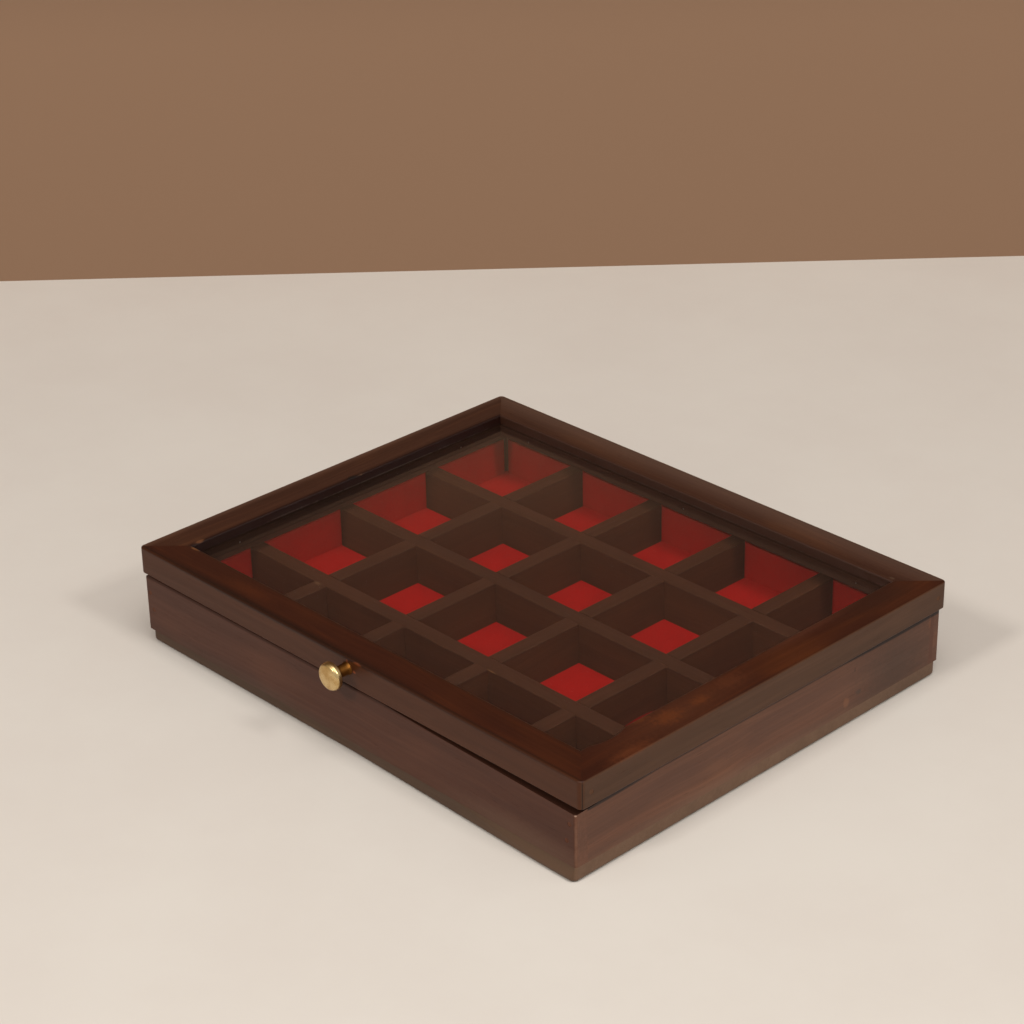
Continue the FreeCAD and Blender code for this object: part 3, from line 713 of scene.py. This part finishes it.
def makeMetal(name, spec):
    material, tree, shader = newMaterial(name)
    place = objectPlace(tree)
    tarnish = cloud(tree, place, spec["scale"], *tarnishSet["noise"]).outputs[0]
    dulled = rampTo(tree, tarnish, *tarnishSet["colourRamp"])
    colour = mixColour(tree, dulled, linear(*spec["bright"]), linear(*spec["dull"]))
    rough = rampTo(tree, tarnish, *tarnishSet["roughRamp"], *spec["rough"])
    if "stem" in spec:  # the knob's stem is painted a darker amber, a painted reflection of the wood round it, and is rougher; fine rings from the lathe
        depth = axes(tree, place)[1]
        onStemReflection = rampTo(tree, depth, *spec["stemPlace"])
        colour = mixColour(tree, onStemReflection, colour, linear(*spec["stem"]))
        coarser = rampTo(tree, depth, *spec["stemPlace"], 0.0, spec["stemRough"])
        rough = calc(tree, "ADD", rough, coarser)
        low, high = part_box("knob")
        offset = calcVector(tree, "SUBTRACT", place, (low + high) / 2)
        radius = lengthOf(tree, calcVector(tree, "MULTIPLY", offset, (1.0, 0.0, 1.0)))
        inputs = {"W": radius, "Scale": spec["rings"], "Detail": 1.0}
        rings = addNode(tree, "TexNoise", inputs, noise_dimensions="1D").outputs[0]
        addRelief(tree, shader, rings, spec["ringBump"], spec["ringDepth"])
    feed(tree, shader.inputs["Base Color"], colour)
    feed(tree, shader.inputs["Roughness"], rough)
    if "shine" in spec:
        shader.inputs["Specular IOR Level"].default_value = spec["shine"]
    else:
        shader.inputs["Metallic"].default_value = 1.0
    return material


for name, pieces in metalPieces.items():
    finish = makeMetal(name, metals[name])
    for piece in pieces:
        dress(nodes[piece], finish)
print("metal polished")

# felt: red, napped, pressed flat under the dividers and a little loose between them
feltSet = {
    "red": linear(171, 13, 13),
    "deep": linear(135, 9, 10),
    "nap": (1900.0, 3.0, 0.65),
    "napShade": (0.3, 0.7, 0.35, 1.0),
    "napRough": (0.2, 0.8, 0.88, 1.0),
    "patches": (70.0, 3.0),
    "patchShade": (0.25, 0.7, 0.6, 1.0),
    "shine": 0.05,
    "bump": 0.5,
    "bumpDepth": 0.0004,
    "cell": 0.002,
    "pillow": 0.0003,
    "grip": 0.007,  # reach of a divider's pressure
    "ripple": 0.00012,
    "rippleScale": 90,
    "smoothAngle": 40,
}


def makeFelt(spec):
    material, tree, shader = newMaterial("redFelt")
    place = objectPlace(tree)
    nap = cloud(tree, place, *spec["nap"]).outputs[0]
    patches = cloud(tree, place, *spec["patches"]).outputs[0]
    napShare = rampTo(tree, nap, *spec["napShade"])
    share = scaled(tree, napShare, rampTo(tree, patches, *spec["patchShade"]))
    feed(tree, shader.inputs["Base Color"], mixColour(tree, share, spec["deep"], spec["red"]))
    feed(tree, shader.inputs["Roughness"], rampTo(tree, nap, *spec["napRough"]))
    shader.inputs["Specular IOR Level"].default_value = spec["shine"]
    addRelief(tree, shader, nap, spec["bump"], spec["bumpDepth"])
    return material


def stepsFor(length):
    return max(2, round(length / feltSet["cell"]))


dividerSpans = []
for name in nodes:
    if "divider" in name:
        low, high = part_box(name)
        short = 1 if name.startswith("long") else 0
        dividerSpans.append((short, low[short], high[short]))


# 0 where a divider presses on the felt, rising smoothly to 1 where it is free
def looseness(place, faceAxis):
    gap = 1.0
    for short, start, end in dividerSpans:
        if short != faceAxis:
            gap = min(gap, max(start - place[short], place[short] - end, 0.0))
    share = min(1.0, gap / feltSet["grip"])
    return share * share * (3 - 2 * share)


def layFelt(name, node, faceAxis, faceSide):
    low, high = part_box(node)
    size = high - low
    across = [axis for axis in range(3) if axis != faceAxis]
    bpy.ops.object.select_all(action="DESELECT")
    alongX, alongY = [stepsFor(size[axis]) for axis in across]
    bpy.ops.mesh.primitive_grid_add(x_subdivisions=alongX, y_subdivisions=alongY, size=1.0)
    felt = bpy.context.object
    felt.name = name
    outer = high[faceAxis] if faceSide > 0 else low[faceAxis]
    for vertex in felt.data.vertices:
        spot = Vector()
        spot[across[0]] = low[across[0]] + (vertex.co.x + 0.5) * size[across[0]]
        spot[across[1]] = low[across[1]] + (vertex.co.y + 0.5) * size[across[1]]
        loose = looseness(spot, faceAxis)
        wave = noise.noise(spot * feltSet["rippleScale"])
        swell = feltSet["pillow"] * loose + feltSet["ripple"] * loose * wave
        spot[faceAxis] = outer + faceSide * swell
        vertex.co = spot
    bpy.ops.object.mode_set(mode="EDIT")
    bpy.ops.mesh.select_all(action="SELECT")
    back = [0.0, 0.0, 0.0]
    back[faceAxis] = -faceSide * size[faceAxis]
    bpy.ops.mesh.extrude_region_move(TRANSFORM_OT_translate={"value": back})
    bpy.ops.mesh.select_all(action="SELECT")
    bpy.ops.mesh.normals_make_consistent(inside=False)
    bpy.ops.object.mode_set(mode="OBJECT")
    bpy.ops.object.shade_smooth_by_angle(angle=math.radians(feltSet["smoothAngle"]))
    felt.data.materials.append(feltFinish)
    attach(felt, "box")
    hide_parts(node)


feltFinish = makeFelt(feltSet)
layFelt("floorFelt", "floor_lining", 2, 1)
layFelt("frontFelt", "front_lining", 1, 1)
layFelt("backFelt", "back_lining", 1, -1)
layFelt("leftFelt", "left_lining", 0, 1)
layFelt("rightFelt", "right_lining", 0, -1)
print("felt laid")
